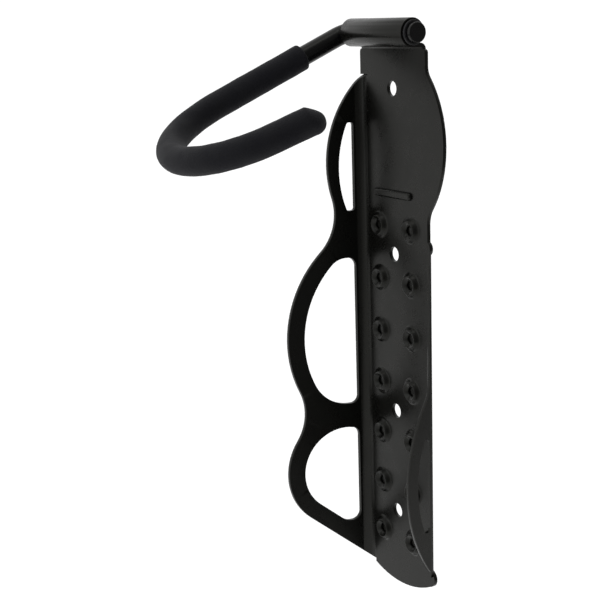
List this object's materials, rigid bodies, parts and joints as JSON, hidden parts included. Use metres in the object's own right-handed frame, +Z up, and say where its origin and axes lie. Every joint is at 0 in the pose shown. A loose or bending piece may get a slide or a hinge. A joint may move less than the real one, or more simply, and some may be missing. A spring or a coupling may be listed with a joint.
{
  "type": "bicycle wall rack",
  "caption": "Wall plate of formed sheet steel with tyre flanges and a foam-covered hook that folds up on a knuckle at its top.",
  "frame": {"origin": "on the wall plate's back face, midway between the two upper screw holes", "axes": "+Z up along the plate, +Y into the wall, +X to the right of a person who faces the wall"},
  "size_m": [0.0964, 0.1174, 0.2717],
  "materials": {
    "plate_enamel": "semi-gloss black enamel",
    "rod_enamel": "semi-gloss black enamel",
    "ring_steel": "black oxide",
    "foam": "matte closed-cell foam"
  },
  "bodies": {
    "plate": {"wall_plate": "plate_enamel"},
    "hook": {"hook_rod": "rod_enamel", "hook_sleeve": "foam", "retaining_ring": "ring_steel"}
  },
  "joints": [
    {"name": "hook_fold", "type": "hinge", "parent": "plate", "child": "hook", "pos_m": [0, -0.0072, 0.0631], "axis": [-1, 0, 0], "range_deg": [0, 115]}
  ]
}
